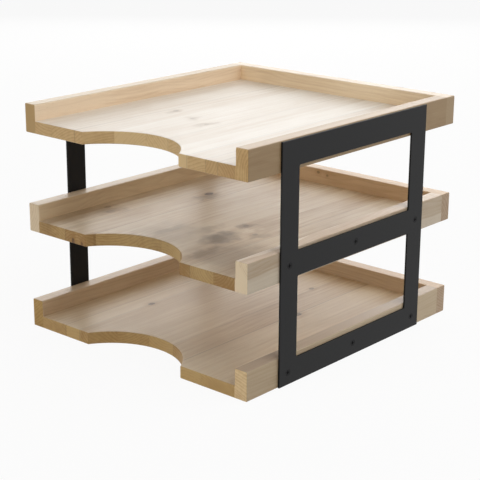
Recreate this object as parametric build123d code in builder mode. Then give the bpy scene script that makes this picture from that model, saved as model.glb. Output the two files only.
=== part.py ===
"""Letter tray stack: three open wooden trays screwed between two flat steel ladder frames.

Millimetres, +Z up. X runs across the trays and Y from their open front to the back. The
origin lies on the ground, under the middle of the stack.
"""
import math
import os

from build123d import *

os.makedirs("parts", exist_ok=True)

# ------------------------------------------------------------------ driving dimensions (mm)
# Stack
tiers = ("lower", "middle", "upper")
tray_pitch = 105  # from the underside of one tray to the underside of the next

# Wooden trays: a base panel between two side rails, closed by a back rail
tray_width = 300
tray_depth = 330
base_thickness = 13
rail_height = 30
rail_thickness = 15
back_thickness = 15
sanded_radius = 1.2  # every outer edge of a glued-up tray
scoop_radius = 75  # finger scoop in the front edge
scoop_depth = 38

# Steel side frames: two uprights and evenly spaced crossbars, one for each tray, cut from one
# plate. The left frame is the right one turned half round, so its setbacks are swapped.
plate_thickness = 2
plate_edge_radius = 0.3
upright_width = 25
bar_height = 25
window_radius = 1.5  # in the corners of the windows
front_setback = 45  # from the front of the trays to the right frame's front upright
rear_setback = 55  # from the right frame's rear upright to the back of the trays
rim_drop = 1  # from the upper tray's rim down to the top of the frame

# Countersunk wood screws, through the lower and the middle bar into the side rails
screws_per_bar = 3
screw_radius = 1.75
screw_tip_length = 3
screw_cover = 3  # wood left beyond the tip
screw_fit = 0.05  # gap around the thread in its pilot hole, and under the head
screw_end_gap = 1  # pilot hole beyond the tip
frame_hole_radius = 2.1
head_radius = 3.5
head_angle = 90
head_recess = 0.15  # from the face of the frame down to the head
cross_span = 3.8  # cross recess in the head
cross_slot = 0.9
cross_depth = 1.2

# Steel pins on the inside of the top bar, in blind holes in the upper tray's side rails
pin_radius = 2
pin_reach = 11  # into the rail
pin_foot = 1  # into the plate
pin_chamfer = 0.4
pin_fit = 0.05  # gap around the pin in its holes, and at its foot
pin_end_gap = 1  # hole beyond the tip

# Dowels, hidden in the glued seams
dowel_radius = 3
dowel_chamfer = 0.8
dowel_fit = 0.05  # gap around the dowel in its hole
dowel_end_gap = 1  # glue room at each end
dowel_cover = 5  # wood left behind a hole drilled into a rail's face
dowel_anchor = 18  # reach into the edge or the end grain of the other board
dowels_per_seam = 4
dowels_per_corner = 2
seam_margin = 37.5  # from the ends of a base panel's seam to the first and last dowel
corner_margin = 8  # from the bottom and the rim of a side rail to its corner dowels

# ------------------------------------------------------------------ derived places and sizes
front_y = -tray_depth / 2
back_y = tray_depth / 2
seam_y = back_y - back_thickness  # front face of the back rail
inner_width = tray_width - 2 * rail_thickness
inner_depth = tray_depth - back_thickness
inner_mid_y = (front_y + seam_y) / 2
rail_mid_x = (tray_width - rail_thickness) / 2
tray_bottoms = [tier * tray_pitch for tier in range(len(tiers))]

frame_length = tray_depth - front_setback - rear_setback
frame_height = tray_bottoms[-1] + rail_height - rim_drop
frame_mid_y = front_y + front_setback + frame_length / 2  # of the right frame
frame_outer_x = tray_width / 2 + plate_thickness
bar_pitch = (frame_height - bar_height) / (len(tiers) - 1)
bar_bottoms = [tier * bar_pitch for tier in range(len(tiers))]

bar_middles = [bar_bottom + bar_height / 2 for bar_bottom in bar_bottoms]
screw_spacing = (frame_length - upright_width) / (screws_per_bar - 1)
screw_length = plate_thickness + rail_thickness - screw_cover
head_depth = (head_radius - screw_radius) / math.tan(math.radians(head_angle / 2))

side_dowel_spacing = (inner_depth - 2 * seam_margin) / (dowels_per_seam - 1)
back_dowel_spacing = (inner_width - 2 * seam_margin) / (dowels_per_seam - 1)
corner_dowel_spacing = (rail_height - 2 * corner_margin) / (dowels_per_corner - 1)
rail_hole_depth = rail_thickness - dowel_cover
back_hole_depth = back_thickness - dowel_cover
anchor_hole_depth = dowel_anchor + dowel_end_gap

sides = ((-1, "left"), (1, "right"))


def save(piece, name):
    """Labels a finished piece and writes it to a file of its own."""
    piece.label = name
    export_step(piece, f"parts/{name}.step")


def side_plane(side, x, y, z):
    """A plane that faces out of one side of the stack, with its own X level and its Y up."""
    return Plane(origin=(side * x, y, z), x_dir=(0, side, 0), z_dir=(side, 0, 0))


def dowel(hole_depth):
    """A dowel along Z with the seam at Z = 0: its upper end sits in a hole this deep."""
    length = dowel_anchor + hole_depth - dowel_end_gap
    with BuildPart(Plane.XY.offset(-dowel_anchor)) as pin:
        Cylinder(dowel_radius, length, align=(Align.CENTER, Align.CENTER, Align.MIN))
        chamfer(pin.edges().filter_by(GeomType.CIRCLE), dowel_chamfer)
    return pin.part


def dowel_row(pin, seam, spacing, count):
    """Dowels in a row along a seam's own X."""
    with BuildPart(seam) as row:
        with GridLocations(spacing, 0, count, 1):
            add(pin)
    return row.part


def drill_dowel_row(seam, spacing, count, depth):
    """Dowel holes in a row along a seam's own X, drilled against its normal."""
    with Locations(seam):
        with GridLocations(spacing, 0, count, 1):
            Hole(dowel_radius + dowel_fit, depth)


def drill_screw_row(face, radius):
    """Screw holes through a bar's outer face, which go on to the end of the pilot holes."""
    with Locations(face):
        with GridLocations(screw_spacing, 0, screws_per_bar, 1):
            CounterSinkHole(
                radius,
                head_radius + head_recess + screw_fit,
                depth=screw_length + screw_end_gap,
                counter_sink_angle=head_angle,
            )


def drill_pin_row(seam, depth):
    """Pin holes in a row along a bar, drilled against the seam's normal."""
    with Locations(seam):
        with GridLocations(screw_spacing, 0, screws_per_bar, 1):
            Hole(pin_radius + pin_fit, depth)


# ------------------------------------------------------------------ frame screw, along -Z
with BuildPart() as frame_screw:
    with BuildSketch(Plane.XZ):
        with BuildLine():
            Polyline(
                (0, -head_recess),
                (head_radius, -head_recess),
                (screw_radius, -head_recess - head_depth),
                (screw_radius, screw_tip_length - screw_length),
                (0, -screw_length),
                close=True,
            )
        make_face()
    revolve(axis=Axis.Z)
    with BuildSketch(Plane.XY.offset(-head_recess)):
        Rectangle(cross_span, cross_slot)
        Rectangle(cross_slot, cross_span)
    extrude(amount=-cross_depth, mode=Mode.SUBTRACT)

# ------------------------------------------------------------------ frame pin, along -Z
with BuildPart(Plane.XY.offset(-pin_reach)) as frame_pin:
    Cylinder(pin_radius, pin_reach + pin_foot, align=(Align.CENTER, Align.CENTER, Align.MIN))
    chamfer(frame_pin.edges().group_by(Axis.Z)[0], pin_chamfer)

# ------------------------------------------------------------------ trays
# A whole tray as it leaves the glue press, with its outer edges sanded round. The boards of
# every tier are parted from it, so that the rounding runs on across their seams.
with BuildPart() as glued_tray:
    with BuildSketch():
        Rectangle(tray_width, tray_depth)
    extrude(amount=rail_height)
    with BuildSketch(Plane.XY.offset(base_thickness)):
        with Locations((0, front_y)):
            Rectangle(inner_width, inner_depth, align=(Align.CENTER, Align.MIN))
    extrude(amount=rail_height, mode=Mode.SUBTRACT)
    with BuildSketch():
        with Locations((0, front_y + scoop_depth - scoop_radius)):
            Circle(scoop_radius)
    extrude(amount=base_thickness, mode=Mode.SUBTRACT)
    fillet(glued_tray.edges().filter_by(Edge.is_interior, reverse=True), sanded_radius)

rail_dowel = dowel(rail_hole_depth)
back_dowel = dowel(back_hole_depth)

for tier, bottom, bar_middle in zip(tiers, tray_bottoms, bar_middles):
    ground = Plane.XY.offset(bottom)
    seam_z = bottom + base_thickness / 2
    corner_z = bottom + rail_height / 2
    back_seam = Plane(origin=(0, seam_y, seam_z), x_dir=(1, 0, 0), z_dir=(0, 1, 0))
    side_seams = [side_plane(side, inner_width / 2, inner_mid_y, seam_z) for side, _ in sides]
    corner_seams = [
        Plane(origin=(side * rail_mid_x, seam_y, corner_z), x_dir=(0, 0, 1), z_dir=(0, 1, 0))
        for side, _ in sides
    ]

    # Base panel, between the side rails and in front of the back rail
    with BuildPart() as base_panel:
        with Locations(ground):
            add(glued_tray.part)
        with BuildSketch(ground):
            with Locations((0, front_y)):
                Rectangle(inner_width, inner_depth, align=(Align.CENTER, Align.MIN))
        extrude(amount=rail_height, mode=Mode.INTERSECT)
        drill_dowel_row(back_seam, back_dowel_spacing, dowels_per_seam, anchor_hole_depth)
        for seam in side_seams:
            drill_dowel_row(seam, side_dowel_spacing, dowels_per_seam, anchor_hole_depth)
    save(base_panel.part, f"{tier}_base_panel")

    # Back rail, as wide as the tray, with the side rails butting against its front face
    with BuildPart() as back_rail:
        with Locations(ground):
            add(glued_tray.part)
        with BuildSketch(ground):
            with Locations((0, back_y)):
                Rectangle(tray_width, back_thickness, align=(Align.CENTER, Align.MAX))
        extrude(amount=rail_height, mode=Mode.INTERSECT)
        drill_dowel_row(-back_seam, back_dowel_spacing, dowels_per_seam, back_hole_depth)
        for seam in corner_seams:
            drill_dowel_row(-seam, corner_dowel_spacing, dowels_per_corner, back_hole_depth)
    save(back_rail.part, f"{tier}_back_rail")

    back_dowels = dowel_row(back_dowel, back_seam, back_dowel_spacing, dowels_per_seam)
    save(back_dowels, f"{tier}_back_dowels")

    with BuildPart() as corner_dowels:
        for seam in corner_seams:
            add(dowel_row(back_dowel, seam, corner_dowel_spacing, dowels_per_corner))
    save(corner_dowels.part, f"{tier}_corner_dowels")

    for (side, side_name), side_seam, corner_seam in zip(sides, side_seams, corner_seams):
        screw_face = side_plane(side, frame_outer_x, side * frame_mid_y, bar_middle)
        pin_seam = side_plane(side, tray_width / 2, side * frame_mid_y, bar_middle)
        has_pins = tier == tiers[-1]

        # Side rail, flush with the base panel below and in front
        with BuildPart() as side_rail:
            with Locations(ground):
                add(glued_tray.part)
            with BuildSketch(ground):
                with Locations((side * rail_mid_x, front_y)):
                    Rectangle(rail_thickness, inner_depth, align=(Align.CENTER, Align.MIN))
            extrude(amount=rail_height, mode=Mode.INTERSECT)
            drill_dowel_row(-side_seam, side_dowel_spacing, dowels_per_seam, rail_hole_depth)
            drill_dowel_row(
                corner_seam, corner_dowel_spacing, dowels_per_corner, anchor_hole_depth
            )
            if has_pins:
                drill_pin_row(pin_seam, pin_reach + pin_end_gap)
            else:
                drill_screw_row(screw_face, screw_radius + screw_fit)
        save(side_rail.part, f"{tier}_{side_name}_rail")

        side_dowels = dowel_row(rail_dowel, side_seam, side_dowel_spacing, dowels_per_seam)
        save(side_dowels, f"{tier}_{side_name}_dowels")

        with BuildPart(pin_seam if has_pins else screw_face) as fixings:
            with GridLocations(screw_spacing, 0, screws_per_bar, 1):
                add(frame_pin.part if has_pins else frame_screw.part)
        save(fixings.part, f"{tier}_{side_name}_{'pins' if has_pins else 'screws'}")

# ------------------------------------------------------------------ side frames
for side, side_name in sides:
    with BuildPart() as side_frame:
        with BuildSketch(side_plane(side, tray_width / 2, side * frame_mid_y, 0)):
            Rectangle(frame_length, frame_height, align=(Align.CENTER, Align.MIN))
            for lower_bar, upper_bar in zip(bar_bottoms, bar_bottoms[1:]):
                with Locations((0, lower_bar + bar_height)):
                    RectangleRounded(
                        frame_length - 2 * upright_width,
                        upper_bar - lower_bar - bar_height,
                        window_radius,
                        align=(Align.CENTER, Align.MIN),
                        mode=Mode.SUBTRACT,
                    )
        extrude(amount=plate_thickness)
        fillet(side_frame.edges().filter_by(Axis.X, reverse=True), plate_edge_radius)
        for bar_middle in bar_middles[:-1]:
            screw_face = side_plane(side, frame_outer_x, side * frame_mid_y, bar_middle)
            drill_screw_row(screw_face, frame_hole_radius)
        pin_seam = side_plane(side, tray_width / 2, side * frame_mid_y, bar_middles[-1])
        drill_pin_row(-pin_seam, pin_foot + pin_fit)
    save(side_frame.part, f"{side_name}_side_frame")
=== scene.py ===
"""Looks for the letter tray stack: solid wood with its own rings, knots and staves, black
powder-coated steel, and a pale studio. The CAD nodes keep their meshes.

Metres, +Z up. Material patterns are laid out in millimetres, in the same axes.
"""

import random
from math import radians

import bpy
from mathutils import Matrix, Vector


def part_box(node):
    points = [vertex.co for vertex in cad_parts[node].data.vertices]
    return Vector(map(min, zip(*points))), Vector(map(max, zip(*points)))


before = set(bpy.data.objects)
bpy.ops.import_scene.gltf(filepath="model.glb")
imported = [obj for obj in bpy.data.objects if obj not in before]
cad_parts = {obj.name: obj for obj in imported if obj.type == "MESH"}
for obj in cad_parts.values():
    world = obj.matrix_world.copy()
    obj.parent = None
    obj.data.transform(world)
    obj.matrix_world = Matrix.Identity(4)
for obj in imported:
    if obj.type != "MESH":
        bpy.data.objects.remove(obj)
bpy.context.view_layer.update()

# ------------------------------------------------------------------ camera, as the photograph
PHOTO_WIDTH = 480
FOCAL_PIXELS = 1344.8
SENSOR_WIDTH = 36.0
CAMERA_PLACE = (0.8981, -1.0280, 0.5144)
CAMERA_YAW = 41.26
CAMERA_PITCH = 17.35
CAMERA_ROLL = 0.30


def add_camera():
    """A camera that looks at the stack's front right corner from above, with no shift."""
    data = bpy.data.cameras.new("camera")
    data.sensor_fit = "HORIZONTAL"
    data.sensor_width = SENSOR_WIDTH
    data.lens = FOCAL_PIXELS / PHOTO_WIDTH * SENSOR_WIDTH
    camera = bpy.data.objects.new("camera", data)
    bpy.context.scene.collection.objects.link(camera)
    camera.matrix_world = (
        Matrix.Translation(CAMERA_PLACE)
        @ Matrix.Rotation(radians(CAMERA_YAW), 4, "Z")
        @ Matrix.Rotation(radians(90 - CAMERA_PITCH), 4, "X")
        @ Matrix.Rotation(radians(CAMERA_ROLL), 4, "Z")
    )
    bpy.context.scene.camera = camera


# ------------------------------------------------------------------ node helpers
def srgb(red, green, blue):
    """A linear colour from its everyday values, 0 to 255."""
    values = [channel / 255 for channel in (red, green, blue)]
    linear = [v / 12.92 if v <= 0.04045 else ((v + 0.055) / 1.055) ** 2.4 for v in values]
    return (*linear, 1.0)


class Graph:
    """The nodes of one material. An input takes a plain value or another node's output."""

    def __init__(self, name):
        self.material = bpy.data.materials.new(name)
        self.material.use_nodes = True
        self.nodes = self.material.node_tree.nodes
        self.links = self.material.node_tree.links
        self.nodes.clear()

    def add(self, kind, inputs=None, **settings):
        """A node with its settings, and with its inputs fed by name or number."""
        node = self.nodes.new(kind)
        for key, value in settings.items():
            setattr(node, key, value)
        for key, value in (inputs or {}).items():
            if isinstance(value, bpy.types.NodeSocket):
                self.links.new(value, node.inputs[key])
            else:
                node.inputs[key].default_value = value
        return node

    def math(self, operation, *values, clamp=False):
        inputs = dict(enumerate(values))
        return self.add("ShaderNodeMath", inputs, operation=operation, use_clamp=clamp).outputs[0]

    def vector(self, operation, *values):
        node = self.add("ShaderNodeVectorMath", dict(enumerate(values)), operation=operation)
        return node.outputs["Value" if operation == "LENGTH" else "Vector"]

    def separate(self, vector):
        return self.add("ShaderNodeSeparateXYZ", {0: vector}).outputs[:3]

    def combine(self, x, y, z):
        return self.add("ShaderNodeCombineXYZ", {0: x, 1: y, 2: z}).outputs[0]

    def span(self, value, low, high):
        """How far the value is from low to high, as a share."""
        inputs = {"Value": value, "From Min": low, "From Max": high}
        return self.add("ShaderNodeMapRange", inputs).outputs[0]

    def step(self, value, low, high, start=0.0, end=1.0):
        """Runs smoothly from start to end as the value goes from low to high."""
        inputs = {"Value": value, "From Min": low, "From Max": high, "To Min": start, "To Max": end}
        node = self.add("ShaderNodeMapRange", inputs, interpolation_type="SMOOTHSTEP")
        return node.outputs[0]

    def noise(self, vector, detail=2.0, roughness=0.5):
        """Noise of about one unit's size, with 0.5 as its middle."""
        inputs = {"Vector": vector, "Scale": 1.0, "Detail": detail, "Roughness": roughness}
        return self.add("ShaderNodeTexNoise", inputs).outputs[0]

    def wobble(self, vector, scale, detail, reach):
        """A vector that wanders about zero, at most about half the reach along each axis."""
        inputs = {"Vector": vector, "Scale": scale, "Detail": detail}
        colour = self.add("ShaderNodeTexNoise", inputs).outputs[1]
        return self.vector("MULTIPLY", self.vector("SUBTRACT", colour, (0.5, 0.5, 0.5)), reach)

    def speckle(self, per_metre, detail=2.0, roughness=0.5):
        """Even noise with this many bumps to the metre, fixed to the object."""
        place = self.add("ShaderNodeTexCoord").outputs["Object"]
        return self.noise(self.vector("MULTIPLY", place, (per_metre,) * 3), detail, roughness)

    def mix(self, factor, first, second):
        inputs = {0: factor, 6: first, 7: second}
        return self.add("ShaderNodeMix", inputs, data_type="RGBA").outputs[2]

    def ramp(self, value, stops, interpolation="LINEAR"):
        """A colour ramp through (place, colour) stops."""
        node = self.add("ShaderNodeValToRGB", {0: value})
        node.color_ramp.interpolation = interpolation
        elements = node.color_ramp.elements
        while len(elements) > 1:
            elements.remove(elements[-1])
        for index, (place, colour) in enumerate(stops):
            element = elements[0] if index == 0 else elements.new(place)
            element.position = place
            element.color = colour
        return node.outputs[0]

    def finish(self, colour, roughness, height, bump, ior=1.5):
        """Closes the material with one shader. Bump is in metres for a height of one."""
        inputs = {"Strength": 1.0, "Distance": bump, "Height": height}
        normal = self.add("ShaderNodeBump", inputs).outputs[0]
        inputs = {"Base Color": colour, "Roughness": roughness, "Normal": normal, "IOR": ior}
        shader = self.add("ShaderNodeBsdfPrincipled", inputs)
        self.add("ShaderNodeOutputMaterial", {"Surface": shader.outputs[0]})
        return self.material


# ------------------------------------------------------------------ wood, in millimetres
MM_PER_METRE = 1000.0
RING_SPACING = 2.9  # one year's growth
RING_UNEVEN = 2.5  # years by which the rings stray
RING_UNEVEN_PER_MM = 0.09
PITH_RANGE = 300.0  # every log's middle lies within this of the origin, across and up
SEAM_WIDTH = 0.35
SEED_STEP = 37.0  # from one wood's noise to the next one's

# Where a face turns into end grain, and an upright face into a flat one, by its normal
CUT_FACING = (0.45, 0.8)
FLAT_FACING = (0.5, 0.9)

# Noises along the fibres: bumps per millimetre across and along them, detail and roughness
SLOW_TURNS = (0.011, 0.0055, 2.0)
QUICK_TURNS = (0.05, 0.022, 2.0)
FIBRES = (1.3, 0.035, 4.0, 0.65)
STREAKS = (0.24, 0.008, 3.0, 0.6)
CLOUDS = (0.02, 0.009, 3.0)
PORES = (3.2, 0.16, 2.0, 0.6)
SLOW_TURN_REACH = 40.0  # millimetres by which the rings turn
QUICK_TURN_REACH = 4.0

# Shares of a year: where the late wood darkens and ends, and where the pores thin out
LATE_START = (0.25, 0.9)
LATE_END = (0.92, 1.0)
PORES_THIN = (0.1, 0.6)
LATE_PORES = 0.25
PORE_EDGE = (0.1, 0.22)  # in the pores' noise
HEART_EDGE = 1.5

# Colours, and how much each thing covers the wood's own
DARK_SHARE = (0.62, 0.50, 0.37)  # the grain's dark colour as a share of its light one
KNOT_RIM = srgb(58, 36, 20)
KNOT_HEART = srgb(108, 70, 42)
KNOT_COVER = 0.85
STAIN_AND_PAINTED_SHADE = srgb(96, 74, 42)
STAIN_AND_PAINTED_SHADE_COVER = 0.6
PORE_COVER = 0.3
SEAM_COVER = 0.3

# How much each thing darkens the wood, where 0 is its light colour and 1 its dark one
PLAIN_DARK = 0.28
LATE_DARK = 0.15  # each year's late wood
LATE_DARK_CUT = 0.20  # and as much again on end grain
FIBRE_DARK = 0.45
STREAK_DARK = 0.8
STAIN_AND_PAINTED_LIGHT_DARK = 0.5
NEAR_KNOT_DARK = 0.5
HEART_DARK = 0.55
CUT_CONTRAST = 1.9  # how much more the staves differ in their end grain

# Roughness, and heights in shares of the bump
PLAIN_ROUGHNESS = 0.44
FIBRE_ROUGHNESS = 0.15
CUT_ROUGHNESS = 0.14  # more on end grain
LATE_HEIGHT = 0.35
FIBRE_HEIGHT = 0.6
PORE_HEIGHT = -0.5
WOOD_BUMP = 0.00008  # metres
WOOD_IOR = 1.45

# Knots, in shares of their radius: where each part of a knot fades out
KNOT_RAGGED = 0.9
KNOT_RAGGED_NOISE = (0.3, 2.0)  # bumps per millimetre and detail
KNOT_EDGE = (0.7, 1.2)
KNOT_CENTRE = (0.1, 0.75)
KNOT_SURROUND = (0.5, 3.6)
KNOT_BEND_REACH = 4.5
KNOT_BEND = -0.75

# Stains and patches of painted light and shade, in shares of their reach
PATCH_EDGE = (0.2, 1.4)
PATCH_HEIGHT = 30
PATCH_RAGGED = (26.0, 40.0, 0.0)  # millimetres
PATCH_RAGGED_NOISE = (0.06, 3.0)  # bumps per millimetre and detail


class Stave:
    """One glued strip of wood: where the middle of its log lies, across the board and up from
    the ground, how light it is, from 0 to 1, and where it ends on the right."""

    def __init__(self, pith_across, pith_up, tone, right=None):
        self.pith_across = pith_across
        self.pith_up = pith_up
        self.tone = tone
        self.right = right


class Knot:
    """Where a branch left the trunk: its middle, its radius, and how dark it is, up to 1."""

    def __init__(self, x, y, z, radius, strength):
        self.middle = (x, y, z)
        self.radius = radius
        self.strength = strength


class StainAndPaintedLight:
    """A soft patch on a board: its middle, how far it reaches across X and Y, and how much
    darker the wood is there, or lighter where that is below 0. Some are the wood's own stains
    and pale streaks; others are painted shade, and some of the lighter ones painted light."""

    def __init__(self, x, y, z, reach_x, reach_y, depth):
        self.middle = (x, y, z)
        self.share = (1 / reach_x, 1 / reach_y, 1 / PATCH_HEIGHT)
        self.depth = depth


def darker(colour):
    return (*(value * share for value, share in zip(colour, DARK_SHARE)), 1.0)


def stave_values(g, across, left, staves):
    """The log's middle, the tone and the glue lines of the stave that each point lies in."""
    if len(staves) == 1:
        return staves[0].pith_across, staves[0].pith_up, staves[0].tone, 0.0
    width = staves[-1].right - left
    values = []
    lines = [(0.0, (0, 0, 0, 1))]
    edge = left
    for stave in staves:
        pith = [(value / PITH_RANGE + 1) / 2 for value in (stave.pith_across, stave.pith_up)]
        values.append(((edge - left) / width, (*pith, stave.tone, 1.0)))
        if edge > left:
            for offset, line in ((-SEAM_WIDTH, 0), (0, 1), (SEAM_WIDTH, 0)):
                lines.append(((edge + offset - left) / width, (line, line, line, 1)))
        edge = stave.right
    spot = g.span(across, left, left + width)
    shares = g.add("ShaderNodeSeparateColor", {0: g.ramp(spot, values, "CONSTANT")}).outputs
    pith_across, pith_up = (
        g.math("MULTIPLY_ADD", share, 2 * PITH_RANGE, -PITH_RANGE) for share in shares[:2]
    )
    return pith_across, pith_up, shares[2], g.ramp(spot, lines)


def knot_values(g, place, across, grain, knots):
    """How far each point is inside a knot, in its middle and near one, and how far the grain
    bends there."""
    inside = centre = near = bend = 0.0
    stretch = (1.0, 0.72, 0.5) if grain == "Y" else (0.72, 1.0, 0.9)
    for knot in knots:
        radius, strength = knot.radius, knot.strength
        ragged = g.wobble(place, *KNOT_RAGGED_NOISE, (radius * KNOT_RAGGED,) * 3)
        away = g.vector("ADD", g.vector("SUBTRACT", place, knot.middle), ragged)
        distance = g.vector("LENGTH", g.vector("MULTIPLY", away, stretch))

        def fade(edges, amount):
            low, high = edges
            return g.step(distance, radius * low, radius * high, amount, 0)

        inside = g.math("MAXIMUM", inside, fade(KNOT_EDGE, strength))
        centre = g.math("MAXIMUM", centre, fade(KNOT_CENTRE, 1))
        near = g.math("MAXIMUM", near, fade(KNOT_SURROUND, strength))
        aside = g.math("SUBTRACT", across, knot.middle[0 if grain == "Y" else 1])
        pull = g.math("MULTIPLY", aside, fade((0, KNOT_BEND_REACH), KNOT_BEND))
        bend = g.math("ADD", bend, pull)
    return inside, centre, near, bend


def stain_and_painted_light_values(g, place, stains_and_painted_light):
    """How much darker each point is for the stains and the painted shade, or lighter, partly
    painted light, where that is below 0.
    """
    total = 0.0
    place = g.vector("ADD", place, g.wobble(place, *PATCH_RAGGED_NOISE, PATCH_RAGGED))
    for stain_and_painted_light in stains_and_painted_light:
        away = g.vector("SUBTRACT", place, stain_and_painted_light.middle)
        distance = g.vector("LENGTH", g.vector("MULTIPLY", away, stain_and_painted_light.share))
        total = g.math("ADD", total, g.step(distance, *PATCH_EDGE, stain_and_painted_light.depth, 0))
    return total


def wood(name, grain, colours, staves, left=0.0, knots=(), stains_and_painted_light=(), seed=0, heart=None,
         cloudy=0.9, lively=1.0):
    """Solid wood, sawn from round logs, so that faces, edges and end grain belong together.

    grain is the axis that the fibres run along, "X" or "Y". colours are the light colours of the
    flat faces, the upright ones and the end grain; the flat and upright ones hold painted light
    and shade, lighter or darker as the light falls on each, and the flat ones a painted sheen.
    left is the first stave's left edge.
    heart is the radius of the darker heartwood. cloudy is the strength of the light and dark
    patches, and lively that of the grain's lines.
    """
    g = Graph(name)
    texture = g.add("ShaderNodeTexCoord").outputs
    place = g.vector("MULTIPLY", texture["Object"], (MM_PER_METRE,) * 3)
    x, y, up = g.separate(place)
    along, across = (y, x) if grain == "Y" else (x, y)
    facing_x, facing_y, facing_z = g.separate(texture["Normal"])
    facing_along = facing_y if grain == "Y" else facing_x
    cut = g.step(g.math("ABSOLUTE", facing_along), *CUT_FACING)
    # Upright faces get their own colour, which holds painted light and shade for their facing
    upright = g.step(g.math("ABSOLUTE", facing_z), *FLAT_FACING, 1.0, 0.0)

    def fibre_noise(per_mm_across, per_mm_along, detail, roughness=0.5):
        """Noise drawn out along the fibres, with 0 as its middle."""
        vector = g.combine(
            g.math("MULTIPLY", across, per_mm_across),
            g.math("MULTIPLY", up, per_mm_across),
            g.math("MULTIPLY_ADD", along, per_mm_along, SEED_STEP * seed),
        )
        return g.math("SUBTRACT", g.noise(vector, detail, roughness), 0.5)

    pith_across, pith_up, tone, seam = stave_values(g, across, left, staves)
    knot_inside, knot_centre, knot_near, knot_bend = knot_values(g, place, across, grain, knots)

    # Rings, bent by the knots and by the trunk's slow and quick turns, with uneven spacing
    from_pith = g.math("ADD", across, knot_bend)
    from_pith = g.math("MULTIPLY_ADD", fibre_noise(*SLOW_TURNS), SLOW_TURN_REACH, from_pith)
    from_pith = g.math("MULTIPLY_ADD", fibre_noise(*QUICK_TURNS), QUICK_TURN_REACH, from_pith)
    from_pith = g.math("SUBTRACT", from_pith, pith_across)
    above_pith = g.math("SUBTRACT", up, pith_up)
    radius = g.vector("LENGTH", g.combine(from_pith, above_pith, 0.0))
    uneven = g.math("MULTIPLY", radius, RING_UNEVEN_PER_MM)
    uneven = g.noise(g.combine(uneven, SEED_STEP * seed, 0.0))
    rings = g.math("MULTIPLY_ADD", uneven, RING_UNEVEN, g.math("DIVIDE", radius, RING_SPACING))
    year = g.math("FRACT", rings)
    late = g.math("MULTIPLY", g.step(year, *LATE_START), g.step(year, *LATE_END, 1.0, 0.0))

    fibre = fibre_noise(*FIBRES)
    streak = fibre_noise(*STREAKS)
    cloud = fibre_noise(*CLOUDS)
    pore = g.step(fibre_noise(*PORES), *PORE_EDGE)
    pore = g.math("MULTIPLY", pore, g.step(year, *PORES_THIN, 1.0, LATE_PORES))
    stain_and_painted_light = stain_and_painted_light_values(g, place, stains_and_painted_light)

    # How dark each point is, from the light colour at 0 to the dark one at 1
    late_dark = g.math("MULTIPLY_ADD", cut, LATE_DARK_CUT, LATE_DARK * lively)
    tone_contrast = g.math("MULTIPLY_ADD", cut, CUT_CONTRAST, 1.0)
    dark = g.math("MULTIPLY_ADD", late, late_dark, PLAIN_DARK)
    for value, amount in (
        (fibre, FIBRE_DARK * lively),
        (streak, STREAK_DARK * lively),
        (cloud, cloudy),
        (g.math("SUBTRACT", 0.5, tone), tone_contrast),
        # Patches darken or lighten the wood: real stains, and painted light and shade
        (stain_and_painted_light, STAIN_AND_PAINTED_LIGHT_DARK),
        (knot_near, NEAR_KNOT_DARK),
    ):
        dark = g.math("MULTIPLY_ADD", value, amount, dark)
    if heart is not None:
        edge = (heart - HEART_EDGE, heart + HEART_EDGE)
        dark = g.math("ADD", dark, g.step(radius, *edge, HEART_DARK, 0.0))
    dark = g.math("ADD", dark, 0.0, clamp=True)

    # The flat and upright colours hold painted light and shade, as the light falls on each, and the
    # flat one a painted sheen
    face, side, end = ((*colour, 1.0) for colour in colours)
    light = g.mix(cut, g.mix(upright, face, side), end)
    shade = g.mix(cut, g.mix(upright, darker(face), darker(side)), darker(end))
    colour = g.mix(dark, light, shade)
    # Darker patches take on this colour: real stains, and painted shade where a patch stands in for
    # shade
    colour = g.mix(g.math("MULTIPLY", stain_and_painted_light, STAIN_AND_PAINTED_SHADE_COVER, clamp=True), colour, STAIN_AND_PAINTED_SHADE)
    colour = g.mix(g.math("MULTIPLY", pore, PORE_COVER), colour, darker(darker(face)))
    knot = g.mix(knot_centre, KNOT_RIM, KNOT_HEART)
    colour = g.mix(g.math("MULTIPLY", knot_inside, KNOT_COVER), colour, knot)
    colour = g.mix(g.math("MULTIPLY", seam, SEAM_COVER), colour, KNOT_RIM)

    roughness = g.math("MULTIPLY_ADD", fibre, FIBRE_ROUGHNESS, PLAIN_ROUGHNESS)
    roughness = g.math("MULTIPLY_ADD", cut, CUT_ROUGHNESS, roughness)
    height = g.math("MULTIPLY", fibre, FIBRE_HEIGHT)
    height = g.math("MULTIPLY_ADD", late, LATE_HEIGHT, height)
    height = g.math("MULTIPLY_ADD", pore, PORE_HEIGHT, height)
    height = g.math("SUBTRACT", height, seam)
    return g.finish(colour, roughness, height, WOOD_BUMP, WOOD_IOR)


# ------------------------------------------------------------------ base panels
PANEL_LEFT = -135.0
PITH_ASIDE = 35  # from a stave's middle to its log's, at most
PITH_BEYOND = (15, 50)  # from the panel's underside up or down to the log's middle
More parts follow.
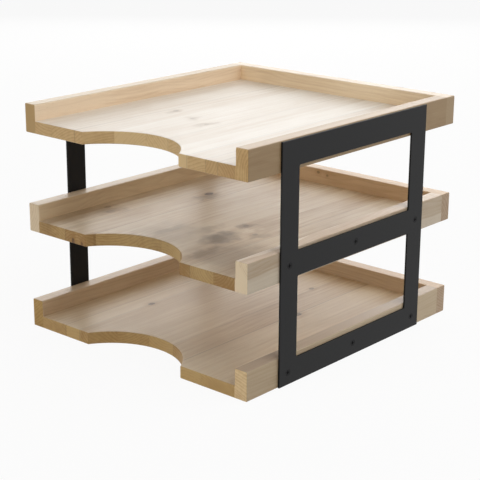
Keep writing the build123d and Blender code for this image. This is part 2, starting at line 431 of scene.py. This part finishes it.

# Each panel's colours, and the right edge and the tone of each of its staves. The flat
# face colour holds a painted sheen, paler than the wood's own colour.
PANELS = {
    "lower": dict(
        face=(0.83, 0.69, 0.50),
        end=(0.58, 0.385, 0.155),
        strips=((-99, 0.5), (-78, 0.7), (-46, 0.45), (-14, 0.5), (22, 0.6), (58, 0.4),
                (92, 0.6), (135, 0.5)),
        knots=(Knot(-78, -60, 13, 3.0, 0.8), Knot(60, 20, 13, 4.0, 0.8),
               Knot(20, 95, 13, 2.5, 0.6)),
        stains_and_painted_light=(StainAndPaintedLight(70, -90, 13, 30, 60, 0.15), StainAndPaintedLight(-40, 60, 13, 25, 70, -0.12)),
        cloudy=0.9,
        lively=1.0,
    ),
    "middle": dict(
        face=(0.87, 0.745, 0.57),
        end=(0.52, 0.345, 0.138),
        strips=((-95, 0.5), (-60, 0.34), (-25, 0.62), (4, 0.58), (44, 0.64), (79, 0.36),
                (108, 0.54), (135, 0.38)),
        knots=(
            Knot(-77.7, 31.7, 118, 4.4, 1.0),
            Knot(-66, 8, 118, 1.6, 0.4),
            Knot(34, -34, 118, 2.6, 0.6),
            Knot(60, -50, 118, 2.6, 0.4),
            Knot(-122, -80, 118, 3.2, 0.5),
            Knot(-107, -90, 118, 4.5, 0.3),
            Knot(-83, -165, 107, 2.0, 0.9),
            Knot(-70, -165, 106, 1.8, 0.7),
        ),
        stains_and_painted_light=(
            StainAndPaintedLight(42, -80, 118, 16, 24, 1.2),
            StainAndPaintedLight(34, -34, 118, 10, 12, 0.6),
            StainAndPaintedLight(49, -42, 118, 6, 11, -1.0),
            StainAndPaintedLight(68, -53, 118, 6, 11, 0.45),
            # Painted shade: the front right of the board
            StainAndPaintedLight(92, -118, 118, 48, 48, 0.6),
            # Painted shade: the front of the board
            StainAndPaintedLight(0, -100, 118, 45, 45, 0.4),
            StainAndPaintedLight(-14, -90, 118, 8, 32, 0.3),
            # Painted shade along the left rail, darkest towards the front
            StainAndPaintedLight(-125, -125, 118, 20, 60, 0.45),
            StainAndPaintedLight(-112, -84, 118, 14, 14, 0.35),
            StainAndPaintedLight(-63, -48, 118, 12, 42, -0.4),
            # Painted light: a pale patch towards the back left
            StainAndPaintedLight(-70, 65, 118, 22, 32, -0.4),
            # Painted light: the back right, where the light comes in from behind
            StainAndPaintedLight(95, 105, 118, 50, 50, -0.25),
            StainAndPaintedLight(-72, 20, 118, 9, 20, 0.55),
            StainAndPaintedLight(64, -128, 118, 10, 30, 0.45),
            StainAndPaintedLight(12, -66, 118, 8, 22, 0.35),
        ),
        cloudy=1.7,
        lively=1.35,
    ),
    "upper": dict(
        # Paler than the other boards: partly a paler board, partly a painted sheen of the strong
        # light on this top board
        face=(0.94, 0.87, 0.77),
        end=(0.73, 0.52, 0.26),
        strips=((-110, 0.44), (-76, 0.46), (-45, 0.45), (-14, 0.66), (17, 0.62), (47, 0.54),
                (76, 0.74), (99, 0.46), (114, 0.38), (135, 0.36)),
        knots=(
            Knot(-66.7, -31.7, 223, 2.6, 0.35),
            Knot(-28, -47, 223, 2.2, 0.2),
            Knot(2, -58, 223, 2.2, 0.25),
        ),
        stains_and_painted_light=(
            StainAndPaintedLight(-66.7, -31.7, 223, 7, 13, 0.35),
            StainAndPaintedLight(-28, -47, 223, 8, 13, 0.25),
            StainAndPaintedLight(2, -58, 223, 8, 18, 0.3),
        ),
        cloudy=0.7,
        lively=0.7,
    ),
}


def glued_staves(bottom, strips, seed):
    """The staves of a base panel with its underside at this height, each from its own log."""
    rng = random.Random(seed)
    staves = []
    left = PANEL_LEFT
    for right, tone in strips:
        pith_across = (left + right) / 2 + rng.uniform(-PITH_ASIDE, PITH_ASIDE)
        pith_up = bottom + rng.choice((-1, 1)) * rng.uniform(*PITH_BEYOND)
        staves.append(Stave(pith_across, pith_up, tone, right))
        left = right
    return staves


def panel_wood(tier, seed, face, end, strips, **details):
    """One base panel's wood. Its upright faces, the scoop's wall too, look like end grain."""
    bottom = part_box(f"{tier}_base_panel")[0].z * MM_PER_METRE
    staves = glued_staves(bottom, strips, seed)
    return wood(f"{tier}_panel_wood", "Y", (face, end, end), staves, PANEL_LEFT, seed=seed,
                **details)


# ------------------------------------------------------------------ rails
# Each rail's light colours, on flat faces, upright faces and end grain, and its one stave.
# The flat and upright colours hold painted light and shade: each is lighter or darker as the
# light falls on that face.
RAILS = {
    "upper_left_rail": dict(
        # Its upright faces are lighter: painted light on the inner face, from the bright board
        # beside it
        colours=((0.68, 0.535, 0.36), (0.93, 0.74, 0.53), (0.48, 0.31, 0.13)),
        staves=(Stave(-170, 190, 0.8),),
    ),
    "upper_right_rail": dict(
        # Its upright faces are darker: painted shade on the outer face
        colours=((0.68, 0.53, 0.37), (0.37, 0.265, 0.145), (0.78, 0.56, 0.27)),
        staves=(Stave(210, 222, 0.45),),
    ),
    "upper_back_rail": dict(
        colours=((0.92, 0.76, 0.58), (0.98, 0.79, 0.54), (0.36, 0.26, 0.155)),
        staves=(Stave(190, 270, 0.7),),
    ),
    "middle_left_rail": dict(
        colours=((0.90, 0.75, 0.57), (0.86, 0.68, 0.45), (0.78, 0.62, 0.42)),
        staves=(Stave(-185, 140, 0.6),),
    ),
    "middle_right_rail": dict(
        # Its top is lighter: painted light where the upper tray shades it
        colours=((0.98, 0.86, 0.73), (0.56, 0.475, 0.365), (0.85, 0.68, 0.46)),
        staves=(Stave(172.5, 150, 0.8),),
        heart=40,
    ),
    "middle_back_rail": dict(
        colours=((0.84, 0.64, 0.43), (0.80, 0.57, 0.34), (0.46, 0.35, 0.25)),
        staves=(Stave(190, 150, 0.5),),
        knots=(Knot(-17, 150, 131, 1.5, 0.5), Knot(-4, 150, 129, 1.3, 0.45)),
        # Lighter towards its left end
        stains_and_painted_light=(StainAndPaintedLight(-85, 150, 122, 70, 30, -1.6),),
    ),
    "lower_left_rail": dict(
        colours=((0.80, 0.63, 0.45), (0.80, 0.62, 0.42), (0.52, 0.335, 0.11)),
        staves=(Stave(-175, 60, 0.5),),
    ),
    "lower_right_rail": dict(
        # Its top colour is darker: painted shade
        colours=((0.55, 0.43, 0.315), (0.53, 0.42, 0.28), (0.88, 0.66, 0.37)),
        staves=(Stave(120, -40, 0.55),),
        # Painted light: lighter towards the back; painted shade: darker at the front
        stains_and_painted_light=(
            StainAndPaintedLight(150, 120, 15, 30, 70, -0.8),
            StainAndPaintedLight(143, 20, 30, 30, 70, -0.7),
            StainAndPaintedLight(150, -130, 15, 30, 50, 0.15),
        ),
    ),
    "lower_back_rail": dict(
        colours=((0.78, 0.60, 0.42), (0.78, 0.60, 0.40), (0.50, 0.38, 0.27)),
        staves=(Stave(200, 80, 0.5),),
    ),
}


# ------------------------------------------------------------------ steel and dowels
def powder_coat():
    """Satin black powder coat, with its fine orange peel."""
    g = Graph("satin_black_powder_coat")
    peel = g.speckle(900.0)
    cloud = g.speckle(25.0)
    speck = g.step(g.speckle(2600.0, detail=1.0), 0.62, 0.75)
    colour = g.mix(g.math("MULTIPLY_ADD", cloud, 0.4, g.math("MULTIPLY", speck, 0.25)),
                   srgb(12, 12, 13), srgb(20, 20, 21))
    roughness = g.math("MULTIPLY_ADD", peel, 0.10, 0.43)
    return g.finish(colour, roughness, peel, bump=0.00004, ior=1.3)


def black_zinc():
    """The screws' and pins' black zinc, dull and a little darker than the powder coat."""
    g = Graph("black_zinc")
    grit = g.speckle(1500.0, detail=3.0, roughness=0.6)
    colour = g.mix(grit, srgb(11, 11, 12), srgb(28, 28, 29))
    roughness = g.math("MULTIPLY_ADD", grit, 0.2, 0.45)
    return g.finish(colour, roughness, grit, bump=0.00002, ior=1.25)


def beech():
    """Plain beech for the hidden dowels, with its short flecks."""
    g = Graph("beech")
    fleck = g.speckle(900.0)
    colour = g.mix(fleck, srgb(222, 188, 150), srgb(196, 158, 118))
    return g.finish(colour, 0.6, fleck, bump=0.00003)


def dress(names, material):
    """Gives the material to these CAD nodes, and nothing else."""
    for name in names:
        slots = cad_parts[name].data.materials
        slots.clear()
        slots.append(material)


# ------------------------------------------------------------------ studio
FLOOR_SIZE = 30.0
FLOOR_COLOUR = srgb(242, 241, 239)
BACKGROUND_SHARE = 0.93  # of plain white, in the floor seen as background
WORLD_STRENGTH = 0.064  # of the light on the object
WHITE = (1.0, 1.0, 1.0, 1.0)
LAMP_AIM = (0, 0, 0.1)
# Each square lamp's place, the length of its sides, and its power
LAMPS = {
    "top_softbox": ((-0.3, 0.3, 1.9), 1.4, 3.5),
    "back_left_softbox": ((-1.3, 1.5, 0.9), 1.5, 15.5),
    "front_softbox": ((-0.4, -2.2, 0.9), 2.2, 24.0),
    "right_softbox": ((1.3, 0.65, 1.3), 2.6, 29.0),
}


def add_floor():
    """A pale floor. Where it is seen as background it is nearly white, and keeps its shadow."""
    half = FLOOR_SIZE / 2
    mesh = bpy.data.meshes.new("floor")
    mesh.from_pydata([(-half, -half, 0), (half, -half, 0), (half, half, 0), (-half, half, 0)],
                     [], [(0, 1, 2, 3)])
    floor = bpy.data.objects.new("floor", mesh)
    bpy.context.scene.collection.objects.link(floor)
    g = Graph("pale_floor")
    rays = g.add("ShaderNodeLightPath").outputs
    seen = g.math("MAXIMUM", rays["Is Camera Ray"], rays["Is Glossy Ray"])
    seen = g.math("MAXIMUM", seen, rays["Is Transmission Ray"])
    matt = g.add("ShaderNodeBsdfDiffuse", {"Color": FLOOR_COLOUR}).outputs[0]
    white = g.add("ShaderNodeEmission", {"Color": WHITE, "Strength": 1.0}).outputs[0]
    share = g.math("MULTIPLY", seen, BACKGROUND_SHARE)
    shader = g.add("ShaderNodeMixShader", {0: share, 1: matt, 2: white}).outputs[0]
    g.add("ShaderNodeOutputMaterial", {"Surface": shader})
    mesh.materials.append(g.material)


def add_world():
    """Even pale light from all round, with a white background."""
    world = bpy.data.worlds.new("studio")
    bpy.context.scene.world = world
    world.use_nodes = True
    nodes, links = world.node_tree.nodes, world.node_tree.links
    nodes.clear()
    rays = nodes.new("ShaderNodeLightPath").outputs
    seen = rays["Is Camera Ray"]
    for name in ("Is Glossy Ray", "Is Transmission Ray"):
        either = nodes.new("ShaderNodeMath")
        either.operation = "MAXIMUM"
        links.new(seen, either.inputs[0])
        links.new(rays[name], either.inputs[1])
        seen = either.outputs[0]
    level = nodes.new("ShaderNodeMapRange")
    level.inputs["To Min"].default_value = WORLD_STRENGTH
    level.inputs["To Max"].default_value = 1.0
    links.new(seen, level.inputs["Value"])
    background = nodes.new("ShaderNodeBackground")
    background.inputs["Color"].default_value = WHITE
    links.new(level.outputs[0], background.inputs["Strength"])
    output = nodes.new("ShaderNodeOutputWorld")
    links.new(background.outputs[0], output.inputs["Surface"])


def add_lamp(name, place, size, power):
    """A square soft lamp that faces the stack."""
    data = bpy.data.lights.new(name, "AREA")
    data.shape = "SQUARE"
    data.size = size
    data.energy = power
    lamp = bpy.data.objects.new(name, data)
    bpy.context.scene.collection.objects.link(lamp)
    lamp.location = place
    towards = Vector(LAMP_AIM) - Vector(place)
    lamp.rotation_euler = towards.to_track_quat("-Z", "Y").to_euler()


# ------------------------------------------------------------------ the scene
bpy.context.scene.view_settings.view_transform = "Standard"
add_camera()
add_floor()
add_world()
for lamp_name, (place, size, power) in LAMPS.items():
    add_lamp(lamp_name, place, size, power)

# The seeds keep every board's noise apart from the others'
for seed, (tier, panel) in enumerate(PANELS.items(), 3):
    dress([f"{tier}_base_panel"], panel_wood(tier, seed, **panel))
for seed, (name, rail) in enumerate(RAILS.items(), 11):
    grain = "X" if name.endswith("_back_rail") else "Y"
    dress([name], wood(f"{name}_wood", grain, seed=seed, **rail))
dress(["left_side_frame", "right_side_frame"], powder_coat())
dress([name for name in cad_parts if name.endswith(("_screws", "_pins"))], black_zinc())
dress([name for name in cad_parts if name.endswith("_dowels")], beech())
